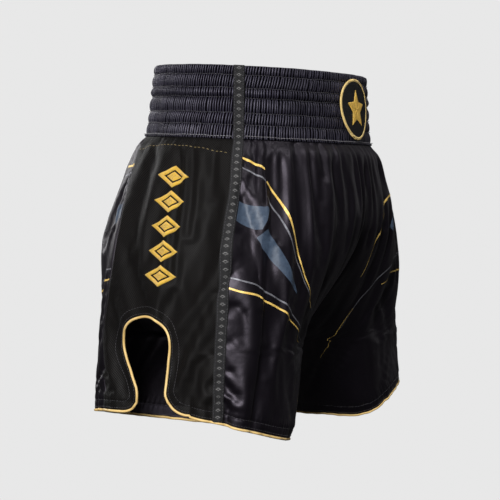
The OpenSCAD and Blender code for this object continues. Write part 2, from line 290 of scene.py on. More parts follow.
def start_folds(side, angle, depth):
    """Height of the starting folds above the body surface, in mm."""
    s = angle * ROUND_MM
    gathers = sum(h * np.sin(s * 2 * math.pi / w + p + side + 0.9 * np.sin(s / 31))
                  for w, h, p in GATHER_WAVES)
    satin = (angle < front_seam(depth)) | (angle > rear_seam(depth))
    reach = np.where(satin, 32.0, 18.0)
    fade = np.exp(-(depth - BAND_H) / reach) * smooth((depth - BAND_H) / 6)
    fade = fade * np.where(satin, 1.0, 0.45)
    fade = fade * (0.35 + 0.65 * smooth((angle - 100) / 35))
    lines = sum(crease(angle, depth, *c) for c in CREASES[side] + BACK_CREASES)
    return gathers * fade * 0.7 + lines


def start_shape(side):
    """Grid of starting points of one half, mirrored for the left."""
    row, col = np.meshgrid(np.arange(ROWS + 1.0), np.arange(COLS + 1.0), indexing="ij")
    angle = col_angle(row, col)
    depth = true_depth(row, angle)
    p = skin(angle, depth)
    edge = smooth(col / 3) * smooth((COLS - col) / 3)
    out = skin(angle, depth, 1.0) - p
    p = p + out * (start_folds(side, angle, depth) * edge)[..., None]
    p[..., 1] += valley(angle, depth)
    if side == LEFT:
        p[..., 0] -= 9 * bump(angle, 135, 60) * smooth((depth - 290) / 60)
        p[..., 2] += 21 * bump(angle, 108, 66) * smooth((depth - 253) / 95)
        p[..., 0] *= -1
    return p, angle, depth


def welded_ids():
    """Vertex number of each grid point of both halves, with the seams joined."""
    ids = {s: np.zeros((ROWS + 1, COLS + 1), int) for s in SIDES}
    count = 0
    for row in range(ROWS + 1):
        for side in SIDES:
            for col in range(COLS + 1):
                hip = row <= ROWS_HIP
                if side == LEFT and hip and col in (0, COLS):
                    ids[side][row, col] = ids[RIGHT][row, col]
                elif col == COLS and row >= ROWS_HIP:
                    ids[side][row, col] = ids[side][row, 0]
                else:
                    ids[side][row, col] = count
                    count += 1
    return ids, count


# the simulation's broad sag and most of its sideways creep are taken out again, so that the
# shorts keep the worn shape and the prints stay true; the top rows stay with the waistband and
# the turned hem moves as one stiff strip
SMOOTHING, SAG_TAKEN_OUT, MOST_MOVE, CREEP_KEPT, BAND_ROWS, HEM_ROWS = 60, 0.9, 5.0, 0.25, 4, 3


def vertex_normals(points, faces):
    a, b, c, d = (points[faces[:, k]] for k in range(4))
    flat = np.cross(c - a, d - b)
    total = np.zeros_like(points)
    for k in range(4):
        np.add.at(total, faces[:, k], flat)
    return unit(total)


def relax(frames=26):
    """Runs the cloth simulation and returns the relaxed grid of each half, in mm."""
    ids, count = welded_ids()
    start = {s: start_shape(s) for s in SIDES}
    points = np.zeros((count, 3))
    pin = np.zeros(count)
    keep = np.zeros(count)
    for side in SIDES:
        p, angle, depth = start[side]
        points[ids[side]] = p
        seam = np.minimum(np.abs(angle - front_seam(depth)), np.abs(angle - rear_seam(depth)))
        hold = 0.10 + 0.25 * np.exp(-(seam / 2.5) ** 2)
        hold[0] = 1.0
        hold[1] = np.maximum(hold[1], 0.5)
        pin[ids[side]] = hold
        # share of the full growth: most under the waistband and beside the front tape
        grow = 0.35 + 0.65 * np.exp(-(depth - BAND_H) / 40)
        beside = 0.4 * np.exp(-((front_seam(depth) - angle - 7) / 6) ** 2) * smooth((depth - 190) / 60)
        grow = np.maximum(grow, beside)
        on_mesh = (angle > front_seam(depth)) & (angle < rear_seam(depth))
        grow = grow * np.where(on_mesh, 0.45, 1.0)
        grow = grow * (1 - 0.9 * np.exp(-(seam / 2.0) ** 2))
        keep[ids[side]] = 1 - np.clip(grow, 0, 1)
    faces = []
    for side in SIDES:
        q = ids[side]
        order = (0, 1, 2, 3) if side == RIGHT else (3, 2, 1, 0)
        corner = (q[:-1, :-1], q[1:, :-1], q[1:, 1:], q[:-1, 1:])
        faces.append(np.stack([corner[k] for k in order], -1).reshape(-1, 4))
    faces = np.concatenate(faces)
    faces = faces[[len(set(f)) == 4 for f in faces.tolist()]]
    mesh = bpy.data.meshes.new("cloth_start")
    mesh.from_pydata((points * MM).tolist(), [], faces.tolist())
    ob = bpy.data.objects.new("cloth_start", mesh)
    bpy.context.scene.collection.objects.link(ob)
    groups = {}
    for name, weights in (("hold", pin), ("keep", keep)):
        groups[name] = ob.vertex_groups.new(name=name)
        for i, w in enumerate(weights):
            groups[name].add([i], float(w), "REPLACE")
    cloth = ob.modifiers.new("cloth", "CLOTH")
    s = cloth.settings
    s.quality = 6
    s.mass = 0.12
    s.tension_stiffness = s.compression_stiffness = 18
    s.shear_stiffness = 6
    s.bending_stiffness = 0.06
    s.tension_damping = s.compression_damping = 12
    s.bending_damping = 0.5
    s.air_damping = 2.5
    s.vertex_group_mass = "hold"
    s.pin_stiffness = 1.0
    s.vertex_group_shrink = "keep"
    s.shrink_min = -0.055
    s.shrink_max = 0.0
    cloth.collision_settings.use_collision = False
    cloth.point_cache.frame_start, cloth.point_cache.frame_end = 1, frames
    for f in range(1, frames + 1):
        bpy.context.scene.frame_set(f)
    done = ob.evaluated_get(bpy.context.evaluated_depsgraph_get())
    flat = np.empty(count * 3)
    done.data.vertices.foreach_get("co", flat)
    relaxed = flat.reshape(-1, 3) / MM
    bpy.data.objects.remove(ob)
    bpy.data.meshes.remove(mesh)
    bpy.context.scene.frame_set(1)
    moved = relaxed - points
    slow = moved.copy()
    ends = np.concatenate([faces[:, [k, (k + 1) % 4]] for k in range(4)])
    near = np.maximum(np.bincount(ends.ravel(), minlength=count), 1)[:, None]
    for _ in range(SMOOTHING):
        total = np.zeros_like(slow)
        np.add.at(total, ends[:, 0], slow[ends[:, 1]])
        np.add.at(total, ends[:, 1], slow[ends[:, 0]])
        slow = 0.5 * slow + 0.5 * total / near
    moved = moved - SAG_TAKEN_OUT * slow
    ups = vertex_normals(points, faces)
    outward = (moved * ups).sum(-1, keepdims=True) * ups
    moved = outward + CREEP_KEPT * (moved - outward)
    size = np.linalg.norm(moved, axis=1)
    print("cloth moved, mean and most, mm:", size.mean().round(2), size.max().round(2))
    moved = moved * np.minimum(1, MOST_MOVE / np.maximum(size, 1e-6))[:, None]
    result = {}
    for side in SIDES:
        step = moved[ids[side]] * smooth(np.arange(ROWS + 1) / BAND_ROWS)[:, None, None]
        step[-HEM_ROWS:] = step[-HEM_ROWS - 1]
        result[side] = points[ids[side]] + step
    return result


GRID = relax()


def padded(side):
    """The grid of a half with one more row and column all round, taken from what adjoins."""
    own, other = GRID[side], GRID[-side]
    before, after = own[:, -2].copy(), own[:, 1].copy()
    before[:ROWS_HIP + 1] = other[:ROWS_HIP + 1, 1]
    after[:ROWS_HIP + 1] = other[:ROWS_HIP + 1, -2]
    wide = np.concatenate([before[:, None], own, after[:, None]], 1)
    top = 2 * wide[:1] - wide[1:2]
    low = 2 * wide[-1:] - wide[-2:-1]
    return np.concatenate([top, wide, low], 0)


PADDED = {side: padded(side) for side in SIDES}


def cubic_weights(t):
    """Catmull-Rom weights of the four neighbours at t between the middle two."""
    return np.stack([-t + 2 * t**2 - t**3, 2 - 5 * t**2 + 3 * t**3,
                     t + 4 * t**2 - 3 * t**3, -t**2 + t**3], -1) / 2


def on_grid(side, row, col):
    """Point of the relaxed cloth at a fractional row and column."""
    row, col = pair(row, col)
    i = np.clip(np.floor(row).astype(int), 0, ROWS - 1)
    j = np.clip(np.floor(col).astype(int), 0, COLS - 1)
    wr, wc = cubic_weights(row - i), cubic_weights(col - j)
    grid = PADDED[side]
    total = 0
    for m in range(4):
        for n in range(4):
            total = total + (wr[..., m] * wc[..., n])[..., None] * grid[i + m, j + n]
    return total


def grid_normal(side, row, col, p):
    step = 0.2
    r2 = np.where(row > ROWS - step, row - step, row + step)
    c2 = np.where(col > COLS - step, col - step, col + step)
    by_row = (on_grid(side, r2, col) - p) * np.sign(r2 - row)[..., None]
    by_col = (on_grid(side, row, c2) - p) * np.sign(c2 - col)[..., None]
    return unit(np.cross(by_col, by_row)) * -side


def waves(x, *parts):
    """Sum of sines of x; each part is (wavelength, height, phase)."""
    return sum(h * np.sin(x * 2 * math.pi / w + p) for w, h, p in parts)


def fine_relief(side, angle, depth):
    """Small puckers that are finer than the simulated grid, in mm."""
    s = angle * ROUND_MM
    fs, rs = front_seam(depth), rear_seam(depth)
    from_front, from_rear = (fs - angle) * SIDE_MM, (angle - rs) * SIDE_MM
    below = depth - BAND_H
    tuck = waves(s + 2.5 * np.sin(s / 17), (8.3, 0.4, 1.0 + side), (12.1, 0.45, 0.3), (5.1, 0.12, 2.0))
    tuck = tuck * np.exp(-below / 9.0) * smooth(below / 3) * (0.4 + 0.6 * smooth((angle - 100) / 35))
    wob = 3.0 * np.sin(depth / 23 + side) + 2.0 * np.sin(depth / 9.7)
    pucker = 0
    for gap_mm, strength in ((from_front, 1.0), (from_rear, 0.8)):
        near = np.exp(-(np.abs(gap_mm) - 5) ** 2 / 150) * smooth((np.abs(gap_mm) - 3) / 4)
        down = 0.2 + 0.8 * smooth((depth - 215) / 60)
        pucker = pucker + strength * near * down * waves(
            depth + wob - 1.2 * np.abs(gap_mm), (19.5, 0.34, side), (12.7, 0.10, 1.3))
    hem = hem_depth(angle) - depth
    row = -0.55 * np.exp(-((hem - 9.5) / 1.3) ** 2)
    hem_pucker = 0.35 * waves(s, (7.7, 1.0, 0.0), (5.2, 0.5, 1.0)) * np.exp(-((hem - 11) / 6) ** 2)
    crumple = 0.28 * waves(s + 0.5 * depth, (27.0, 1.0, 0.0), (17.0, 0.6, 2.0)) * np.sin(depth / 21)
    under_band = -1.5 * np.exp(-(np.maximum(below, 0) / 5.5) ** 2)
    return tuck + pucker + row + hem_pucker + crumple + under_band + side_fold(angle, depth)


def cloth(side, angle, depth, out=0.0):
    """Point and normal of the finished cloth surface, out mm outside it."""
    row, col = place(angle, depth)
    p = on_grid(side, row, col)
    n = grid_normal(side, row, col, p)
    lift = fine_relief(side, np.asarray(angle, float) % 360, depth) + out
    return p + n * lift[..., None], n


# ------------------------------------------------------------ meshes
def make_mesh(name, points, faces, uv=None):
    mesh = bpy.data.meshes.new(name)
    mesh.from_pydata((np.asarray(points) * MM).tolist(), [], faces)
    mesh.validate()
    if uv is not None:
        layer = mesh.uv_layers.new(name="cloth_uv")
        loops = np.empty(len(mesh.loops), int)
        mesh.loops.foreach_get("vertex_index", loops)
        layer.data.foreach_set("uv", (np.asarray(uv)[loops] * MM).ravel())
    mesh.polygons.foreach_set("use_smooth", np.full(len(mesh.polygons), True))
    ob = bpy.data.objects.new(name, mesh)
    bpy.context.scene.collection.objects.link(ob)
    return ob


def grid_faces(rows, cols, flip=False, wrap=False, ring=False, keep=None):
    """Quads of a rows by cols grid of points; wrap joins its columns and ring its rows."""
    i, j = np.meshgrid(np.arange(rows if ring else rows - 1), np.arange(cols if wrap else cols - 1),
                       indexing="ij")
    k, low = (j + 1) % cols, (i + 1) % rows
    quads = np.stack([i * cols + j, low * cols + j, low * cols + k, i * cols + k], -1)
    if keep is not None:
        quads = quads[keep]
    quads = quads.reshape(-1, 4)
    return (quads[:, ::-1] if flip else quads).tolist()


def grid_mesh(name, grid, uv, **layout):
    """Mesh over a grid of points; layout is what grid_faces takes."""
    return make_mesh(name, grid.reshape(-1, 3), grid_faces(*grid.shape[:2], **layout),
                     uv.reshape(-1, 2))


def spread(across, down):
    """Cloth coordinates of a grid, from one value for each column and one for each row."""
    return np.stack(np.meshgrid(across, down), -1)


def run_of(line):
    """Distance along a line of points."""
    return np.concatenate([[0], np.cumsum(np.linalg.norm(np.diff(line, axis=0), axis=1))])


def at_run(values, run, where):
    """A line's values at other distances along it."""
    return np.stack([np.interp(where, run, values[:, k]) for k in range(3)], -1)


def joined_up(*lines):
    return [np.vstack([x, x[:1]]) for x in lines]


def thicken(ob, mm, offset=-1.0):
    mod = ob.modifiers.new("thickness", "SOLIDIFY")
    mod.thickness = mm * MM
    mod.offset = offset
    return ob


def finish_piece(ob, material, slot, *nodes):
    ob.data.materials.append(material)
    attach(ob, "root")
    if nodes:
        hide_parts(*nodes)
    return ob


def tube(name, line, normal, radius, sides=12, squash_to=1.0, ridges=None):
    """Closed tube along a ring of points; normal gives the side that faces out of the cloth."""
    n = len(line)
    behind = np.roll(line, 1, 0)
    along = unit(np.roll(line, -1, 0) - behind)
    up = unit(normal - (normal * along).sum(-1, keepdims=True) * along)
    across = np.cross(along, up)
    t = np.arange(sides) * 2 * math.pi / sides
    size = np.full((n, 1), radius)
    if ridges is not None:
        size = size * ridges(np.arange(n)[:, None], t[None, :])
    ring = (size * np.cos(t))[..., None] * squash_to * up[:, None] \
        + (size * np.sin(t))[..., None] * across[:, None]
    points = (line[:, None] + ring).reshape(-1, 3)
    faces = []
    for i in range(n):
        a, b = i * sides, ((i + 1) % n) * sides
        faces += [(a + j, a + (j + 1) % sides, b + (j + 1) % sides, b + j) for j in range(sides)]
    u = np.repeat(np.cumsum(np.linalg.norm(line - behind, axis=1)), sides)
    return make_mesh(name, points, faces, np.stack([u, np.tile(t, n) * radius], -1))


# place along a stitch and its thickness there, as shares of its length and radius
STITCH_RINGS = np.array([[-0.5, 0.25], [-0.42, 0.8], [-0.2, 1.0], [0.2, 1.0], [0.42, 0.8], [0.5, 0.25]])
STITCH_SIDES, STITCH_ARCH = 6, 0.12


def stitches(name, line, normal, pitch, length, radius, closed=False):
    """Run of thread stitches laid on a line of points on the cloth."""
    if closed:
        line, normal = joined_up(line, normal)
    run = run_of(line)
    at = np.arange(pitch / 2, run[-1] - pitch / 2, pitch)
    mid, up = at_run(line, run, at), unit(at_run(normal, run, at))
    ahead = unit(at_run(line, run, at + length / 2) - at_run(line, run, at - length / 2))
    up = unit(up - (up * ahead).sum(-1, keepdims=True) * ahead)
    across = np.cross(ahead, up)
    sides = STITCH_SIDES
    t = np.arange(sides) * 2 * math.pi / sides
    points = []
    for place_along, fat in STITCH_RINGS:
        middle = mid + ahead * (length * place_along) + up * (STITCH_ARCH * (1 - 4 * place_along**2))
        ring = up[:, None] * (np.cos(t) * radius * fat)[None, :, None] \
            + across[:, None] * (np.sin(t) * radius * fat)[None, :, None]
        points.append(middle[:, None] + ring)
    points = np.stack(points, 1).reshape(-1, 3)
    rings = len(STITCH_RINGS)
    faces = []
    for k in range(len(at)):
        base = k * rings * sides
        for r in range(rings - 1):
            a, b = base + r * sides, base + (r + 1) * sides
            faces += [(a + j, a + (j + 1) % sides, b + (j + 1) % sides, b + j) for j in range(sides)]
        faces += [tuple(range(base, base + sides))[::-1],
                  tuple(range(base + (rings - 1) * sides, base + rings * sides))]
    return make_mesh(name, points, faces)


# ------------------------------------------------------------ materials
class Nodes:
    """Short names for building a node tree."""

    def __init__(self, tree):
        self.tree = tree

    def node(self, kind, **settings):
        n = self.tree.nodes.new("ShaderNode" + kind)
        for key, value in settings.items():
            setattr(n, key, value)
        return n

    def link(self, a, b):
        self.tree.links.new(a, b)

    def value(self, socket, x):
        if hasattr(x, "is_output"):
            self.link(x, socket)
        else:
            socket.default_value = x

    def looks(self, shader, inputs):
        """Sets or links a shader's inputs by name."""
        for name, x in inputs.items():
            self.value(shader.inputs[name], x)

    def math(self, op, a, b=0.0):
        n = self.node("Math", operation=op)
        self.value(n.inputs[0], a)
        self.value(n.inputs[1], b)
        return n.outputs[0]

    def add(self, a, b):
        return self.math("ADD", a, b)

    def times(self, a, b):
        return self.math("MULTIPLY", a, b)

    def uv(self, scale=(1, 1, 1)):
        """The cloth's own coordinates, in metres along and across, times scale."""
        src = self.node("UVMap", uv_map="cloth_uv")
        m = self.node("Mapping")
        m.inputs["Scale"].default_value = scale
        self.link(src.outputs[0], m.inputs[0])
        return m.outputs[0]

    def split(self, vector):
        n = self.node("SeparateXYZ")
        self.link(vector, n.inputs[0])
        return n.outputs[0], n.outputs[1]

    def noise(self, vector, scale, detail=3.0, rough=0.5):
        n = self.node("TexNoise")
        self.looks(n, {"Scale": scale, "Detail": detail, "Roughness": rough, "Vector": vector})
        return n.outputs["Fac"]

    def place(self):
        return self.node("TexCoord").outputs["Object"]

    def ramp(self, fac, *stops):
        n = self.node("ValToRGB")
        e = n.color_ramp.elements
        for k, (pos, colour) in enumerate(stops):
            e[k].position = pos
            e[k].color = (*colour, 1)
        self.value(n.inputs[0], fac)
        return n.outputs[0]

    def span(self, fac, low, high, start=0.0, end=1.0, **settings):
        """Maps start to end onto low to high."""
        n = self.node("MapRange", **settings)
        for k, x in enumerate((fac, start, end, low, high)):
            self.value(n.inputs[k], x)
        return n.outputs[0]

    def mix(self, fac, a, b, blend="MIX"):
        n = self.node("Mix", data_type="RGBA", blend_type=blend)
        self.value(n.inputs[0], fac)
        for socket, x in ((n.inputs[6], a), (n.inputs[7], b)):
            self.value(socket, (*x, 1) if isinstance(x, tuple) else x)
        return n.outputs[2]

    def bump(self, height, strength, distance, below=None):
        n = self.node("Bump")
        self.looks(n, {"Strength": strength, "Distance": distance, "Height": height})
        if below is not None:
            self.link(below, n.inputs["Normal"])
        return n.outputs[0]

    def lines(self, coordinate, pitch):
        """Sine ridges of a given pitch, from 0 to 1, along one coordinate in metres."""
        turns = self.times(coordinate, 2 * math.pi / pitch)
        return self.add(self.times(self.math("SINE", turns), 0.5), 0.5)


def material(name):
    m = bpy.data.materials.new(name)
    m.use_nodes = True
    return m, Nodes(m.node_tree), m.node_tree.nodes["Principled BSDF"]


def satin(name, dark, light, rough=(0.34, 0.46), sheen=0.35, tint=(0.75, 0.66, 0.85), weave=0.12,
          shine=0.42, pleat=0.0):
    """Filament satin: fine floats along the cloth, soft sheen, slight colour variation; pleat adds painted
    shade.
    """
    m, n, b = material(name)
    u, v = n.split(n.uv())
    cloudy = n.noise(n.place(), 38.0, 4.0)
    slubs = n.noise(n.uv((260, 2600, 1)), 1.0, 2.0)
    tone = n.add(n.times(cloudy, 0.7), n.times(slubs, 0.3))
    colour = n.ramp(tone, (0.3, dark), (0.72, light))
    if pleat:
        # painted shade: the deep line between pleats sees almost no light, so colour, sheen and shine
        # darken
        ridge = n.math("SUBTRACT", 1.0, n.lines(n.add(u, pleat / 4), pleat))
        painted_pleat_shade = n.ramp(ridge, (0.22, (0.02,) * 3), (0.9, (1, 1, 1)))
        colour = n.mix(1.0, colour, painted_pleat_shade, "MULTIPLY")
        sheen, shine = n.times(painted_pleat_shade, sheen), n.times(painted_pleat_shade, shine)
    floats = n.times(n.lines(u, 0.00052), n.lines(v, 0.0011))
    wrinkle = n.noise(n.place(), 240.0, 3.0, 0.6)
    n.looks(b, {
        "Base Color": colour, "Roughness": n.span(slubs, *rough),
        "Normal": n.bump(wrinkle, 0.16, 0.0008, n.bump(floats, weave, 0.0002)),
        "Sheen Weight": sheen, "Sheen Roughness": 0.35, "Sheen Tint": (*tint, 1),
        "Specular IOR Level": shine, "Specular Tint": (*tint, 1),
        "Anisotropic": 0.0 if pleat else 0.35})
    return m


def mesh_cloth(name):
    """Knitted mesh: rows of small eyelets on the bias, with painted shade dark through the holes."""
    m, n, b = material(name)
    u, v = n.split(n.uv())
    pitch = 0.0023
    hole = n.times(n.lines(n.add(u, v), pitch), n.lines(n.math("SUBTRACT", u, v), pitch))
    # the eyelet pattern is the knit's own; the near-black in the holes is painted shade of the inside
    yarn_and_hole_shade = n.ramp(hole, (0.30, (0.0092, 0.0082, 0.0078)), (0.58, (0.0005, 0.0004, 0.0005)))
    cloudy = n.times(n.noise(n.place(), 30.0, 4.0), 0.45)
    knit = n.bump(n.math("SUBTRACT", 1.0, hole), 0.55, 0.0005)
    n.looks(b, {
        "Base Color": n.mix(cloudy, yarn_and_hole_shade, (0.0022, 0.0020, 0.0022)),
        "Roughness": n.span(hole, 0.42, 0.8),
        "Normal": n.bump(n.noise(n.place(), 260.0, 3.0), 0.14, 0.0008, knit),
        "Specular IOR Level": n.ramp(hole, (0.30, (0.09,) * 3), (0.58, (0.005,) * 3)),
        "Sheen Weight": 0.02, "Sheen Roughness": 0.4})
    return m


def thread(name, dark, light, pitch=0.0006, rough=0.38):
    """Embroidery thread: rows of glossy strands with slight colour variation."""
    m, n, b = material(name)
    u, _ = n.split(n.uv())
    wander = n.times(n.noise(n.uv((500, 500, 1)), 1.0, 2.0), 0.0004)
    strands = n.lines(n.add(u, wander), pitch)
    tone = n.add(n.times(strands, 0.65), n.times(n.noise(n.place(), 420.0, 3.0), 0.45))
    n.looks(b, {
        "Base Color": n.ramp(tone, (0.2, dark), (0.8, light)),
        "Roughness": n.span(strands, rough + 0.2, rough), "Normal": n.bump(strands, 0.8, 0.0004),
        "Sheen Weight": 0.15, "Specular IOR Level": 0.6})
    return m


def woven_tape(name):
    """Grosgrain tape with cross ribs and a row of small plain lozenges."""
    m, n, b = material(name)
    u, v = n.split(n.uv())
    ribs, threads = n.lines(u, 0.0011), n.lines(v, 0.0007)
    off = n.math("ABSOLUTE", n.math("SUBTRACT", n.math("FRACT", n.math("DIVIDE", u, 0.0066)), 0.5))
    across = n.math("DIVIDE", n.math("ABSOLUTE", v), 0.0024)
    reach = n.add(n.times(off, 4.2), across)
    lozenge = n.times(n.math("LESS_THAN", reach, 1.0), n.math("GREATER_THAN", reach, 0.45))
    mark = n.times(lozenge, n.math("GREATER_THAN", ribs, 0.25))
    ground = n.ramp(n.times(ribs, n.noise(n.place(), 500.0, 2.0)),
                    (0.1, (0.006, 0.006, 0.0065)), (0.65, (0.022, 0.021, 0.0225)))
    n.looks(b, {
        "Base Color": n.mix(n.times(mark, 0.8), ground, (0.22, 0.215, 0.215)),
        "Roughness": n.span(ribs, 0.7, 0.5),
        "Normal": n.bump(n.add(ribs, n.times(threads, 0.4)), 0.7, 0.0004),
        "Sheen Weight": 0.04, "Specular IOR Level": 0.3})
    return m


def ink(name, dark, light, metal=0.0, rough=0.42):
    """Print ink that keeps the satin's weave and rubs slightly thin."""
    m, n, b = material(name)
    u, v = n.split(n.uv())
    worn = n.noise(n.place(), 300.0, 4.0, 0.6)
    floats = n.times(n.lines(u, 0.0005), n.lines(v, 0.0009))
    n.looks(b, {
        "Base Color": n.ramp(worn, (0.3, dark), (0.6, light)),
        "Roughness": n.span(worn, rough + 0.15, rough), "Normal": n.bump(floats, 0.2, 0.0002),
        "Metallic": metal})
    return m


def twill(name, dark, light):
    """Tight twill, with its ribs on the slant."""
    m, n, b = material(name)
    u, v = n.split(n.uv())
    rib = n.lines(n.add(u, n.times(v, 0.6)), 0.0009)
    n.looks(b, {
        "Base Color": n.ramp(n.times(rib, n.noise(n.place(), 300.0)), (0.1, dark), (0.7, light)),
        "Roughness": n.span(rib, 0.75, 0.55), "Normal": n.bump(rib, 0.6, 0.0003),
        "Sheen Weight": 0.03, "Specular IOR Level": 0.15})
    return m


# how far the cloth coordinates run on for each pleat, and so the pitch of its lines of painted shade
PLEAT_UV = 11.75
# the band's satin gets painted shade along the lines between its pleats
BAND_SATIN = satin("band_satin", (0.012, 0.0110, 0.018), (0.030, 0.027, 0.043), rough=(0.40, 0.52),
                   sheen=0.17, tint=(0.86, 0.82, 1.0), weave=0.05, shine=0.6, pleat=PLEAT_UV * MM)
BODY_SATIN = satin("body_satin", (0.0016, 0.0012, 0.0020), (0.0038, 0.0029, 0.0046), sheen=0.02,
                   tint=(0.94, 0.84, 1.0), rough=(0.36, 0.47), shine=0.34)
SIDE_MESH = mesh_cloth("side_mesh")
FACING = satin("facing_satin", (0.007, 0.006, 0.008), (0.012, 0.011, 0.014), rough=(0.5, 0.65), sheen=0.2)
GOLD = thread("gold_thread", (0.70, 0.36, 0.02), (1.0, 0.66, 0.085))
PALE_GOLD = thread("border_thread", (0.62, 0.40, 0.10), (1.0, 0.76, 0.30), pitch=0.0012)
PIPING = satin("piping_satin", (0.62, 0.40, 0.13), (0.92, 0.66, 0.28), rough=(0.3, 0.42), sheen=0.2,
               tint=(1, 0.9, 0.7), shine=0.6)
TAPE = woven_tape("woven_tape")
BLACK_THREAD = thread("black_thread", (0.010, 0.009, 0.012), (0.035, 0.032, 0.04), rough=0.4)
GREY_THREAD = thread("grey_thread", (0.10, 0.095, 0.105), (0.20, 0.19, 0.205), rough=0.45)
MARK_THREAD = thread("mark_thread", (0.14, 0.10, 0.03), (0.34, 0.25, 0.09), rough=0.5)
GOLD_INK = ink("gold_ink", (0.62, 0.38, 0.06), (0.98, 0.68, 0.20), metal=0.1, rough=0.34)
SILVER_INK = ink("silver_ink", (0.10, 0.10, 0.115), (0.21, 0.21, 0.235), metal=0.3)
BLUE_INK = ink("blue_ink", (0.028, 0.044, 0.074), (0.048, 0.072, 0.112))
BADGE_TWILL = twill("badge_twill", (0.0012, 0.0012, 0.0015), (0.004, 0.0038, 0.0048))
ELASTIC = twill("elastic_rib", (0.55, 0.54, 0.50), (0.80, 0.79, 0.75))
LABEL_SATIN = satin("label_satin", (0.68, 0.67, 0.63), (0.82, 0.81, 0.77), rough=(0.35, 0.5), sheen=0.2,
                    tint=(1, 1, 1))

# ------------------------------------------------------------ waistband
CHANNELS = 6
# depths of the stitch rows; each channel lies between two of them
ROW_D = [0, 10, 22.5, 32, 46.5, 58, 69.5]
PLEATS, PER_PLEAT = 264, 5
# height of each channel's middle and of each stitch row above the body surface
PUFF = [0.7, 0.6, 1.2, 0.5, 0.2, -0.1]
PINCHED = [-0.2, -1.0, -1.0, -2.2, -1.3, -1.3, -0.9]
# how far each channel's pleats slant, in degrees of wave, and how tall they are
LEAN = [1.2, 2.6, 0.6, 1.0, 2.0, 0.8]
PLEAT_H = [2.0, 2.0, 1.2, 2.1, 2.1, 2.3]


def channel_of(depth):
    """Channel number and the share of it that lies above a depth."""
    k = np.clip(np.searchsorted(ROW_D, depth, side="right") - 1, 0, CHANNELS - 1)
    top, low = np.take(ROW_D, k), np.take(ROW_D, k + 1)
    return k, np.clip((depth - top) / (low - top), 0, 1)


def band_relief(depth):
    """Height of the waistband's channels above the body surface, without the pleats."""
    k, t = channel_of(depth)
    rounded = np.sin(np.pi * t) ** 0.55
    base = np.take(PINCHED, k) * (1 - t) + np.take(PINCHED, k + 1) * t
    return base + (np.take(PUFF, k) - base) * rounded


# the elastics' outer face, which the pleats' valleys rest on
ON_ELASTIC = -1.4


def pleated_wall(depths, out_of, height, seed, lowest=None):
    """Grid of a pleated wall: rows by depth, five columns to a pleat."""
    gen = np.random.default_rng(seed)
    cols = PLEATS * PER_PLEAT
    col = np.arange(cols)
    turn = 360.0 * col / cols
    phase = col % PER_PLEAT / PER_PLEAT
    ridge = np.sin(math.pi * phase) ** 0.8
    grid = []
    sizes = gen.uniform(0.5, 1.25, (CHANNELS + 1, PLEATS))
    drift = gen.uniform(-0.5, 0.5, (CHANNELS + 1, PLEATS))
    for d in depths:
        k, t = channel_of(np.array([d]))
        k, t = int(k[0]), float(t[0])
        mid = 0.42 + 0.58 * math.sin(math.pi * t) ** 0.7
        size = np.repeat(sizes[k] * (1 - t) + sizes[k + 1] * t, PER_PLEAT)
        move = np.repeat(drift[k] * (1 - t) + drift[k + 1] * t, PER_PLEAT)
        sway = waves(turn, (47.0, 0.7, k), (19.0, 0.45, 2.0 * k), (7.3, 0.3, k))
        slant = LEAN[k] * (t - 0.5) * (1 + 0.35 * np.sin(np.radians(3 * turn) + k))
        shift = slant + move + sway + 0.55 * ridge * np.sin(np.radians(5 * turn) + 2 * k)
        deep = height(k) * mid * size * (ridge - 0.55)
        level = 0.35 * waves(turn, (33.0, 1.0, 0.5 * k), (12.1, 0.8, k)) * mid
        angle = turn + shift / ROUND_MM
        out = out_of(d) + deep + level
        if lowest is not None and 0.06 < t < 0.94:
            out = np.maximum(out, lowest)
        grid.append(skin(angle, d + 0.15 * sway, out))
    return np.stack(grid)


def build_casing():
    """Folded strip: the pleated outer wall, a flatter inner wall and the round top fold."""
    outer_d, inner_d = [], []
    for k in range(CHANNELS):
        share = (1 - np.cos(np.linspace(0, math.pi, 9)[:-1])) / 2
        outer_d += list(ROW_D[k] + (ROW_D[k + 1] - ROW_D[k]) * share)
        inner_d += list(ROW_D[k] + (ROW_D[k + 1] - ROW_D[k]) * np.array([0, 0.35, 0.7]))
    outer_d = outer_d[2:] + [69.5, 70.9, 71.9]
    inner_d = inner_d[1:] + [69.5, 71.5]
    bottom = {69.5: 0.7, 70.9: 1.2, 71.9: 0.0}
    outer = pleated_wall(outer_d, lambda d: bottom.get(d, float(band_relief(np.array([d]))[0])) - 1.0,
                         lambda k: PLEAT_H[k], 3, ON_ELASTIC)
    inner = pleated_wall(inner_d, lambda d: -4.6 - 0.8 * float(band_relief(np.array([d]))[0] > 0),
                         lambda k: 0.8, 3)
    fold = []
    for t in (0.2, 0.4, 0.6, 0.8):
        mixed = outer[0] * (1 - t) + inner[0] * t
        mixed[:, 2] += 1.6 * math.sin(math.pi * t)
        fold.append(mixed)
    grid = np.concatenate([inner[::-1], np.stack(fold[::-1]), outer])
    rows, cols = grid.shape[:2]
    uv = spread(np.arange(cols) * PLEAT_UV / PER_PLEAT, np.arange(rows) * 1.4)
    ob = grid_mesh("waistband_casing_cloth", grid, uv, flip=True, wrap=True, ring=True)
    return finish_piece(ob, BAND_SATIN, "waistband_satin", "waistband_casing")


casing = build_casing()
for k in range(1, CHANNELS + 1):
    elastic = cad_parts[f"elastic_tape_{k}"].data.materials
    elastic.clear()
    elastic.append(ELASTIC)


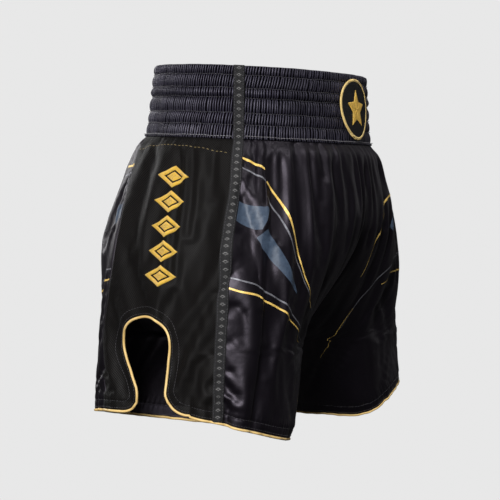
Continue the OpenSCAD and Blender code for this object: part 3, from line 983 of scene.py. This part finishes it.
def build_band_stitches():
    """The rows of stitches between the channels; the last, of grey thread, stands clear."""
    angle = np.linspace(0, 360, 720, endpoint=False)
    for k in range(1, CHANNELS + 1):
        last = k == CHANNELS
        d = ROW_D[k] - (0.4 if last else 0)
        wobble = 0.25 * waves(angle, (31.0, 1.0, k), (11.0, 0.6, 2 * k))
        out = PINCHED[k] + (1.9 if last else 0.75)
        line = skin(angle, d + wobble, out + 0.2 * waves(angle, (2.7, 1.0, k)))
        ob = stitches(f"band_stitching_{k}", line, skin_normal(angle, d), pitch=3.1, length=2.5,
                      radius=0.3 if last else 0.24, closed=True)
        finish_piece(ob, GREY_THREAD if last else BLACK_THREAD, None)


build_band_stitches()


# ------------------------------------------------------------ panels
def nearest_on(path, points):
    """Nearest point of a polyline to each point, how far it is, and whether that is inside."""
    a, b = path[:-1], path[1:]
    ab = b - a
    t = ((points[:, None] - a) * ab).sum(-1) / (ab**2).sum(-1)
    foot = a + np.clip(t, 0, 1)[..., None] * ab
    gap = np.linalg.norm(points[:, None] - foot, axis=-1)
    best = gap.argmin(1)
    pick = np.arange(len(points))
    closed = np.vstack([path, [path[-1, 0], -420], [path[0, 0], -420]])
    x, y = points[:, 0], points[:, 1]
    inside = np.zeros(len(points), bool)
    for (x1, y1), (x2, y2) in zip(closed, np.roll(closed, -1, 0)):
        if y1 != y2:
            crosses = (y1 > y) != (y2 > y)
            inside ^= crosses & (x < x1 + (y - y1) / (y2 - y1) * (x2 - x1))
    return foot[pick, best], gap[pick, best], inside


SLIT = slit_path()
PANEL_COLS = {"front": (0, COLS_FRONT), "side": (COLS_FRONT, COL_REAR), "back": (COL_REAR, COLS)}


def build_panel(side, which):
    first, last = PANEL_COLS[which]
    row, col = np.meshgrid(np.arange(ROWS * FINE + 1) / FINE,
                           np.arange(first * FINE, last * FINE + 1) / FINE, indexing="ij")
    angle = col_angle(row, col)
    depth = true_depth(row, angle)
    keep = None
    if which == "side":
        base = skin(angle, depth)
        flat = base[..., 1:].reshape(-1, 2)
        foot, gap_mm, inside = nearest_on(SLIT, flat)
        snap = (gap_mm < 1.1) & (flat[:, 1] > -HEM_DEPTH + SIDE_LIFT - 1)
        a, d = side_param(foot[:, 0], foot[:, 1])
        angle = np.where(snap, a, angle.ravel()).reshape(angle.shape)
        depth = np.where(snap, d, depth.ravel()).reshape(depth.shape)
        out_of = (inside & ~snap).reshape(angle.shape)
        gone = out_of[:-1, :-1] | out_of[1:, :-1] | out_of[1:, 1:] | out_of[:-1, 1:]
        flat = flat.reshape(*angle.shape, 2)
        centre = (flat[:-1, :-1] + flat[1:, 1:]) / 2
        inside_centre = nearest_on(SLIT, centre.reshape(-1, 2))[2].reshape(gone.shape)
        keep = ~(gone | inside_centre)
        row, col = place(angle, depth)
    p = on_grid(side, row, col)
    n = grid_normal(side, row, col, p)
    p = p + n * fine_relief(side, angle, depth)[..., None]
    rows, cols = row.shape
    u = np.cumsum(np.pad(np.linalg.norm(np.diff(p, axis=1), axis=-1), ((0, 0), (1, 0))), 1)
    u = np.repeat(u.mean(0, keepdims=True), rows, 0)
    uv = np.stack([u, depth], -1)
    faces = np.array(grid_faces(rows, cols, flip=side == RIGHT, keep=keep))
    name = f"{which}_panel_{SIDES[side]}"
    used = np.unique(faces)
    number = np.full(rows * cols, -1)
    number[used] = np.arange(len(used))
    ob = make_mesh(f"{name}_cloth", p.reshape(-1, 3)[used], number[faces].tolist(),
                   uv.reshape(-1, 2)[used])
    thicken(ob, 0.45)
    cloth_of, slot = (SIDE_MESH, "side_mesh") if which == "side" else (BODY_SATIN, "body_satin")
    return finish_piece(ob, cloth_of, slot, name)


PANELS = {(side, which): build_panel(side, which) for side in SIDES for which in PANEL_COLS}


# ------------------------------------------------------------ tapes, piping, hems
def on_shorts(side, angle, depth, out):
    """Point on the waistband or the cloth below it, and its normal."""
    depth = np.asarray(depth, float)
    p, n = cloth(side, angle, np.maximum(depth, BAND_H + 0.5), out)
    q = skin(angle, depth, out + 0.25 * band_relief(np.clip(depth, 0, ROW_D[-1])) + 0.9)
    m = skin_normal(angle, depth)
    if side == LEFT:
        q, m = q * [-1, 1, 1], m * [-1, 1, 1]
    share = (depth > BAND_H + 0.5)[..., None]
    return np.where(share, p, q), np.where(share, n, m)


def settle(grid, passes=3):
    """Evens a grid along its rows, so that a stiff tape bridges small puckers."""
    for _ in range(passes):
        grid = grid.copy()
        grid[1:-1] = (grid[:-2] + 2 * grid[1:-1] + grid[2:]) / 4
    return grid


TAPE_W = 10.5


def build_tape(side):
    """Tape over the front seam from the top of the waistband to the hem, with a stitch row at each edge."""
    depth = np.linspace(0.6, hem_depth(front_seam(LEG_END)) - 1.0, 260)
    v = np.linspace(-1, 1, 9)
    seam = front_seam(depth)
    angle = seam[:, None] + v[None] * (TAPE_W / 2) / arc(seam, depth)[:, None]
    deep = np.repeat(depth[:, None], len(v), 1)
    out = 0.75 + 0.3 * (1 - v**4)[None] + np.zeros_like(angle)
    p, n = on_shorts(side, angle, deep, out)
    p = settle(p, 6)
    name = f"tape_front_{SIDES[side]}"
    ob = grid_mesh(f"{name}_cloth", p, spread(v * TAPE_W / 2, depth)[..., ::-1], flip=side == RIGHT)
    thicken(ob, 0.55)
    finish_piece(ob, TAPE, "seam_tape", name)
    for edge, label in ((1, "a"), (-2, "b")):
        run = stitches(f"{name}_stitching_{label}", p[2:-2, edge] + n[2:-2, edge] * 0.12,
                       n[2:-2, edge], pitch=2.9, length=2.2, radius=0.2)
        finish_piece(run, BLACK_THREAD, None)
    return ob


TAPES = {side: build_tape(side) for side in SIDES}


def build_marks(side):
    """Faint row of yellowish stitches across the mesh, just under the waistband."""
    share = np.linspace(0, 1, 90)
    depth = 80 + 6 * (2 * share - 1) ** 2
    angle = front_seam(depth) + 4 + (rear_seam(depth) - front_seam(depth) - 6) * share
    p, n = cloth(side, angle, depth, 0.1)
    run = stitches(f"side_marks_{SIDES[side]}", p, n, pitch=4.6, length=2.6, radius=0.2)
    return finish_piece(run, MARK_THREAD, None)


for side in SIDES:
    build_marks(side)


def leg_line(side, out, inset=0.0):
    """Closed line round the slit and the hem, inset mm inside the edge."""
    path = SLIT.copy()
    ahead = np.gradient(path, axis=0)
    side_step = unit(np.stack([-ahead[:, 1], ahead[:, 0]], -1))
    path = path + side_step * inset
    a_slit, d_slit = side_param(path[:, 0], path[:, 1])
    a_hem = np.linspace(a_slit[-1], a_slit[0] + 360, 420)[1:-1]
    angle = np.concatenate([a_slit, a_hem])
    depth = np.concatenate([d_slit, hem_depth(a_hem) - inset])
    return cloth(side, angle, depth, out)


def even(line, normal, step):
    """The closed line with its points spaced evenly."""
    line, normal = joined_up(line, normal)
    run = run_of(line)
    at = np.linspace(0, run[-1], int(run[-1] / step), endpoint=False)
    return at_run(line, run, at), unit(at_run(normal, run, at))


PIPING_R = 1.25


def build_leg_edges(side):
    """A leg's piping, its two rows of stitches and its turned hem."""
    name = SIDES[side]
    piping = tube(f"hem_piping_{name}_cord", *even(*leg_line(side, -0.2), 1.6), PIPING_R)
    finish_piece(piping, PIPING, "piping", f"hem_piping_{name}")
    for label, inset, pitch, length in (("hem", 9.5, 3.0, 2.3), ("edge", 3.2, 2.8, 2.1)):
        line, normal = even(*leg_line(side, 0.25, inset), 1.5)
        run = stitches(f"{label}_stitching_{name}", line, normal, pitch, length, 0.2, closed=True)
        finish_piece(run, BLACK_THREAD, None)
    a_slit, _ = side_param(SLIT[:, 0], SLIT[:, 1])
    angle = np.linspace(a_slit[-1] + 1, a_slit[0] + 359, 420)
    above_hem = np.linspace(1.2, 11, 8)
    a = np.repeat(angle[None], len(above_hem), 0)
    p, _ = cloth(side, a, hem_depth(a) - above_hem[:, None], -0.95)
    strip = grid_mesh(f"hem_facing_{name}_cloth", p, spread(run_of(p[0]), above_hem),
                      flip=side == RIGHT)
    thicken(strip, 0.3)
    return finish_piece(strip, FACING, "hem_facing", f"hem_facing_{name}")


FACINGS = {side: build_leg_edges(side) for side in SIDES}


# ------------------------------------------------------------ prints
def curve_through(points, step=1.2):
    """Catmull-Rom curve through points in the cloth's flat plane."""
    p = np.array(points, float)
    p = np.vstack([2 * p[0] - p[1], p, 2 * p[-1] - p[-2]])
    parts = []
    for k in range(1, len(p) - 2):
        n = max(2, int(np.linalg.norm(p[k + 1] - p[k]) / step))
        w = cubic_weights(np.arange(n) / n)
        parts.append(w @ p[k - 1:k + 3])
    return np.vstack([*parts, p[-2:-1]])


def flat_to_angle(which, s, depth):
    """Angle of the point s mm along its row from the panel's seam with the side panel."""
    result = np.empty_like(depth)
    for k, (far, d) in enumerate(zip(s, depth)):
        start = front_seam(d) if which == "front" else rear_seam(d)
        turn = -1 if which == "front" else 1
        steps = start + turn * np.linspace(0, 150, 76)
        run = np.cumsum(arc(steps, d)) * 2.0
        result[k] = np.interp(far, run - run[0], steps)
    return result


# colour, points as distance from the side panel's seam and depth, and widths along the line
DASHES = [
    ("gold", [(1, 89), (9, 91), (19, 95), (29, 100)], [1.6, 2.0, 2.0, 1.8]),
    ("silver", [(1, 98), (10, 101), (20, 105), (29, 111)], [1.3, 1.5, 1.5, 1.3]),
    ("blue", [(1, 139), (10, 142), (20, 145), (27, 146.5), (33, 146.5)], [18, 19, 20, 20]),
]
REAR_DASHES = [
    ("gold", [(1, 100), (15, 100.5), (30, 102), (48, 106)], [1.6, 1.9, 1.9, 1.7]),
    ("silver", [(1, 108), (15, 108.5), (30, 110), (48, 114)], [1.3, 1.5, 1.5, 1.3]),
    ("blue", [(1, 146), (15, 146.5), (30, 148), (46, 151)], [16, 16, 17, 17]),
]
SWEEPS = [
    ("gold", [(32, 111), (41, 121), (53, 135), (68, 160), (86, 192), (104, 214), (122, 230)],
     [1.7, 2.1, 2.1, 1.8, 1.4, 0.9, 0.4]),
    ("silver", [(33, 125), (42, 136), (53, 148), (75, 183), (104, 217), (135, 236)],
     [1.2, 1.5, 1.4, 1.1, 0.8, 0.4]),
    ("blue", [(33, 161), (41, 170), (49, 179), (58, 189), (70, 203), (84, 217)],
     [12, 12, 11, 9, 6, 1]),
]
LOW = [
    ("silver", [(1, 202), (14, 205), (42, 214), (67, 227), (98, 246), (126, 263)],
     [1.3, 1.5, 1.5, 1.2, 0.9, 0.5]),
    ("gold", [(1, 212), (13, 215), (37, 221), (60, 231), (90, 247), (120, 265)],
     [1.6, 1.9, 1.9, 1.5, 0.9, 0.4]),
]
# the left leg's print reaches further towards the middle
FAR_SWEEPS = [
    ("gold", [(32, 104), (80, 113), (120, 122), (140, 132), (158, 157), (174, 178), (181, 207)],
     [1.8, 2.0, 2.0, 1.8, 1.6, 1.4, 0.8]),
    ("silver", [(60, 180), (111, 191), (138, 203), (161, 229), (172, 262)], [1.3, 1.4, 1.3, 1.0, 0.5]),
    ("blue", [(60, 130), (92, 139), (116, 146), (130, 158)], [22, 22, 20, 6]),
    ("gold", [(1, 196), (60, 201), (105, 205), (137, 215)], [1.6, 1.8, 1.7, 0.6]),
    ("gold", [(166, 240), (170, 250), (181, 277), (193, 294)], [0.5, 1.1, 1.1, 0.4]),
]


def wider(strokes, share, shift):
    """The same strokes with their distances from the seam stretched and shifted."""
    return [(c, [(x * share + shift, d) for x, d in points], w) for c, points, w in strokes]


PRINTS = {
    (RIGHT, "front"): DASHES + SWEEPS + LOW,
    (LEFT, "front"): DASHES + FAR_SWEEPS,
    (RIGHT, "back"): REAR_DASHES + wider(SWEEPS, 1.0, 42) + wider(LOW, 1.25, 0),
    (LEFT, "back"): REAR_DASHES + wider(SWEEPS, 1.0, 42) + wider(LOW, 1.25, 0),
}
INKS = {"gold": GOLD_INK, "silver": SILVER_INK, "blue": BLUE_INK}


def build_print(side, which, number, colour, points, widths):
    """One printed stroke, laid on the cloth as a thin strip of ink."""
    line = curve_through(points)
    ahead = unit(np.gradient(line, axis=0))
    across = np.stack([-ahead[:, 1], ahead[:, 0]], -1)
    t = np.linspace(0, 1, len(line))
    width = np.interp(t, np.linspace(0, 1, len(widths)), widths)
    cols = 13 if max(widths) > 6 else 4
    v = np.linspace(-0.5, 0.5, cols)
    flat = line[:, None] + across[:, None] * (width[:, None] * v[None])[..., None]
    depth = flat[..., 1].ravel()
    p, _ = cloth(side, flat_to_angle(which, flat[..., 0].ravel(), depth), depth, 0.16)
    ob = grid_mesh(f"print_{which}_{SIDES[side]}_{number}", p.reshape(*flat.shape[:2], 3), flat,
                   flip=(side == RIGHT) == (which == "front"))
    return finish_piece(ob, INKS[colour], "body_satin")


for (side, which), strokes in PRINTS.items():
    for number, (colour, points, widths) in enumerate(strokes, 1):
        build_print(side, which, number, colour, points, widths)


# ------------------------------------------------------------ embroidery
MOTIF_W, MOTIF_H, MOTIF_PITCH, MOTIF_TOP, MOTIF_Y, MOTIFS = 34.0, 21.0, 23.7, 109.0, 12.0, 5
STROKE = 4.2


def polygon(corners, steps):
    """Points along a closed polygon, so many to each edge."""
    t = np.arange(steps)[:, None] / steps
    return np.vstack([a + t * (b - a) for a, b in zip(corners, np.roll(corners, -1, 0))])


def lozenge(w, h):
    return polygon(np.array([[w / 2, 0], [0, h / 2], [-w / 2, 0], [0, -h / 2]]), 14)


def raised(side, outer, inner, centre, rings, height):
    """Satin-stitched band between two outlines, crowned across its width."""
    share = np.linspace(0, 1, rings)
    flat = inner[None] + (outer - inner)[None] * share[:, None, None] + centre
    crown = height * np.sqrt(np.clip(1 - (2 * share - 1) ** 2, 0, 1))
    angle, _ = side_param(flat[..., 0], -flat[..., 1])
    p, _ = cloth(side, angle, flat[..., 1], 0.35 + crown[:, None])
    faces = grid_faces(rings, len(outer), flip=side == RIGHT, wrap=True)
    return p.reshape(-1, 3), faces, spread(run_of(outer), share * 4).reshape(-1, 2)


def build_embroidery(side):
    """Row of plain lozenges down the side panel, each a frame with a small one inside it."""
    outlines = [lozenge(MOTIF_W - across * STROKE, MOTIF_H - down * STROKE)
                for across, down in ((0, 0), (3.2, 2), (4.4, 2.8))]
    points, faces, uvs, count = [], [], [], 0
    for k in range(MOTIFS):
        centre = np.array([MOTIF_Y, MOTIF_TOP + MOTIF_PITCH * k])
        for outer, inner, height in ((outlines[0], outlines[1], 1.1),
                                     (outlines[2], outlines[2] * 0.02, 0.8)):
            p, f, uv = raised(side, outer, inner, centre, 9, height)
            points.append(p)
            uvs.append(uv)
            faces += [tuple(i + count for i in q) for q in f]
            count += len(p)
    ob = make_mesh(f"side_embroidery_{SIDES[side]}_thread", np.vstack(points), faces, np.vstack(uvs))
    return finish_piece(ob, GOLD, "gold_thread", f"side_embroidery_{SIDES[side]}")


for side in SIDES:
    build_embroidery(side)

# ------------------------------------------------------------ badge
BADGE_W, BADGE_H, BADGE_RIM, BADGE_D, BADGE_TAPER, BADGE_OUT = 66.0, 62.0, 3.5, 36.5, 0.14, 2.3
STAR_TIPS, STAR_R, STAR_INNER_R = 5, 21.0, 10.5


def on_front(x, depth, out):
    """Point of the waistband's front at x and depth, and its normal."""
    angle = np.degrees(np.arccos(np.clip(x / station(1, depth), -1, 1)))
    p = skin(angle, depth, out)
    n = unit(skin(angle, depth, out + 1) - p)
    return p, n


def oval(w, h, count):
    """Outline of the badge, slightly wider above its middle."""
    t = np.linspace(0, 2 * math.pi, count, endpoint=False)
    return np.stack([w / 2 * np.cos(t) * (1 + BADGE_TAPER * np.sin(t)), h / 2 * np.sin(t)], -1)


def disc(name, outline, rings, profile):
    """Crowned patch filling an outline round the badge's centre."""
    share = np.linspace(0.02, 1, rings)[:, None]
    flat = outline[None] * share[..., None]
    p, _ = on_front(flat[..., 0], BADGE_D - flat[..., 1], BADGE_OUT + profile(share))
    return grid_mesh(name, p, flat, flip=True, wrap=True)


def star():
    """Outline of the plain star that stands for the badge's device."""
    turn = math.pi * np.arange(2 * STAR_TIPS) / STAR_TIPS
    radius = np.tile([STAR_R, STAR_INNER_R], STAR_TIPS)
    return polygon(np.stack([radius * np.sin(turn), radius * np.cos(turn)], -1), 12)


def build_badge():
    """The badge's patch, merrowed border and emblem; returns the patch."""
    inner = (BADGE_W - BADGE_RIM, BADGE_H - BADGE_RIM)
    patch = disc("badge_patch_cloth", oval(*inner, 120), 16, lambda share: 0.5 * (1 - share**3))
    finish_piece(thicken(patch, 0.9), BADGE_TWILL, "badge_twill", "badge_patch")
    rim = oval(*inner, 860)
    line, normal = on_front(rim[:, 0], BADGE_D - rim[:, 1], BADGE_OUT + 0.4)
    border = tube("badge_border_thread", line, normal, 0.45 * BADGE_RIM, squash_to=0.62,
                  ridges=lambda i, t: 1 + 0.09 * np.cos(2 * math.pi * i / 5 + 0.6 * t))
    finish_piece(border, PALE_GOLD, "gold_thread", "badge_border")
    outline = star()
    facet = np.abs(np.cos(np.arctan2(outline[:, 0], outline[:, 1]) * STAR_TIPS / 2))

    def facets(share):
        edge = smooth((1 - share) / 0.12)
        return 0.7 + edge * (1.0 + 0.4 * facet[None] * (1 - 0.4 * share))
    emblem = disc("badge_emblem_thread", outline, 14, facets)
    finish_piece(emblem, GOLD, "gold_thread", "badge_emblem")
    return patch


badge_patch = build_badge()


# ------------------------------------------------------------ inside pieces
def cloth_tree():
    """Ray target made of every panel's own surface."""
    points, faces, count = [], [], 0
    for ob in PANELS.values():
        co = np.empty(len(ob.data.vertices) * 3)
        ob.data.vertices.foreach_get("co", co)
        points.append(co.reshape(-1, 3))
        faces += [[v + count for v in p.vertices] for p in ob.data.polygons]
        count += len(points[-1])
    return BVHTree.FromPolygons(np.vstack(points).tolist(), faces)


def build_gusset():
    """Patch laid over the seams from above, so that it rests on whatever cloth is highest."""
    tree = cloth_tree()
    half_w, half_l, rows, cols = 17.0, 40.0, 33, 17
    points = []
    for i in range(rows):
        for j in range(cols):
            x = half_w * (1 - 2 * j / (cols - 1))
            y = 6 + half_l * (2 * i / (rows - 1) - 1)
            hit = tree.ray_cast(Vector((x * MM, y * MM, -0.15)), Vector((0, 0, -1)))[0]
            z = hit.z / MM if hit is not None else -285.0
            points.append((x, y, z + 1.6))
    grid = np.array(points).reshape(rows, cols, 3)
    for _ in range(4):
        z = grid[..., 2]
        z[1:-1, 1:-1] = np.maximum(z[1:-1, 1:-1],
                                   (z[:-2, 1:-1] + z[2:, 1:-1] + z[1:-1, :-2] + z[1:-1, 2:]) / 4)
    ob = grid_mesh("crotch_gusset_cloth", grid, grid[..., :2])
    thicken(ob, 0.5, 1.0)
    return finish_piece(ob, FACING, "body_satin", "crotch_gusset")


gusset = build_gusset()


def build_label(name, width, height, top):
    """Folded ribbon hanging inside the back of the waistband, in two leaves."""
    cols, per_leaf = 13, 18
    x = np.linspace(-width / 2, width / 2, cols)
    drop = np.concatenate([np.linspace(0, height, per_leaf), np.linspace(height, 1.5, per_leaf)])
    leaf = np.repeat([0, 1], per_leaf)
    grid = []
    for d, front in zip(drop, leaf):
        depth = top + d
        wall = station(4, depth) + station(3, depth) - 6.6
        y = wall - 1.1 * front - 1.4 * (d / height) ** 2 - 0.5 * np.cos(x / width * math.pi)
        grid.append(np.stack([x, y, FALL * y - depth], -1))
    ob = grid_mesh(f"{name}_ribbon", np.stack(grid), spread(x, np.cumsum(np.abs(np.gradient(drop)))))
    thicken(ob, 0.25)
    return finish_piece(ob, LABEL_SATIN, "label_satin", name)


labels = [build_label("size_label", 16, 13, 12), build_label("care_label", 26, 30, 30)]

# ------------------------------------------------------------ stage, lights and camera
FLOOR_Z, FLOOR_RINGS, FLOOR_STEPS = -800.0, [0.5, 600, 1200, 2000, 3000, 4200, 5600], 96


def build_stage():
    """Pale round floor, far below the shorts, that fades out towards its edge."""
    points = [(r * math.cos(2 * math.pi * k / FLOOR_STEPS), r * math.sin(2 * math.pi * k / FLOOR_STEPS),
               FLOOR_Z) for r in FLOOR_RINGS for k in range(FLOOR_STEPS)]
    floor = make_mesh("studio_floor", points,
                      grid_faces(len(FLOOR_RINGS), FLOOR_STEPS, flip=True, wrap=True))
    m, n, b = material("studio_floor")
    far = n.node("VectorMath", operation="LENGTH")
    n.link(n.place(), far.inputs[0])
    n.looks(b, {
        "Alpha": n.span(far.outputs["Value"], 1.0, 0.0, 0.8, 2.2, interpolation_type="SMOOTHSTEP"),
        "Base Color": n.ramp(n.noise(n.place(), 3.0), (0.3, (0.80,) * 3), (0.7, (0.82,) * 3)),
        "Roughness": 0.9})
    floor.data.materials.append(m)
    floor.visible_diffuse = floor.visible_glossy = False


build_stage()

# the world is a bright backdrop for the camera and a dim one for everything else
AMBIENT, BACKDROP = 0.045, 0.806
scene = bpy.context.scene
scene.view_settings.view_transform = "Standard"
world = bpy.data.worlds.new("studio")
scene.world = world
world.use_nodes = True
wn = Nodes(world.node_tree)
wn.looks(world.node_tree.nodes["Background"], {
    "Strength": wn.span(wn.node("LightPath").outputs["Is Camera Ray"], AMBIENT, BACKDROP),
    "Color": (1, 1, 1, 1)})


def area_light(name, at, target, size, power):
    data = bpy.data.lights.new(name, "AREA")
    data.shape = "RECTANGLE"
    data.size, data.size_y = size
    data.energy = power
    ob = bpy.data.objects.new(name, data)
    scene.collection.objects.link(ob)
    ob.location = at
    ob.rotation_euler = (Vector(target) - Vector(at)).to_track_quat("-Z", "Y").to_euler()


CENTRE = (0, 0, -0.18)
# name, place, width and height, watts
LIGHTS = [
    ("key_light", (-2.05, -0.5, 0.65), (0.45, 1.1), 58),
    ("side_light", (-2.0, 0.8, 0.2), (0.4, 1.4), 5),
    ("front_light", (0.1, -1.5, 1.7), (0.5, 0.7), 11),
    ("rim_light", (1.9, -0.9, 0.5), (0.4, 1.4), 1.0),
    ("back_light", (0.6, 2.1, 0.7), (0.8, 1.0), 16),
    ("top_light", (0, 0, 1.6), (1.0, 1.0), 8),
]
for name, at, size, power in LIGHTS:
    area_light(name, at, CENTRE, size, power)

# The camera looks level along the photograph's direction from 2 m away
VIEW_TURN, VIEW_AWAY, VIEW_HEIGHT, FOCAL_PX, FRAME_PX = 65.0, 2.0, -0.128, 1930.0, 500.0
AIM_RIGHT, AIM_DOWN = 11.5 / FOCAL_PX, 54.2 / FOCAL_PX
turn = math.radians(-VIEW_TURN)
back = Vector((math.sin(turn), -math.cos(turn), 0))
right = Vector((math.cos(turn), math.sin(turn), 0))
camera = bpy.data.objects.new("camera", bpy.data.cameras.new("camera"))
scene.collection.objects.link(camera)
camera.data.sensor_width = 36.0
camera.data.lens = camera.data.sensor_width * FOCAL_PX / FRAME_PX
camera.location = back * VIEW_AWAY + Vector((0, 0, VIEW_HEIGHT))
heading = -back - right * AIM_RIGHT - Vector((0, 0, AIM_DOWN))
camera.rotation_euler = heading.to_track_quat("-Z", "Y").to_euler()
scene.camera = camera
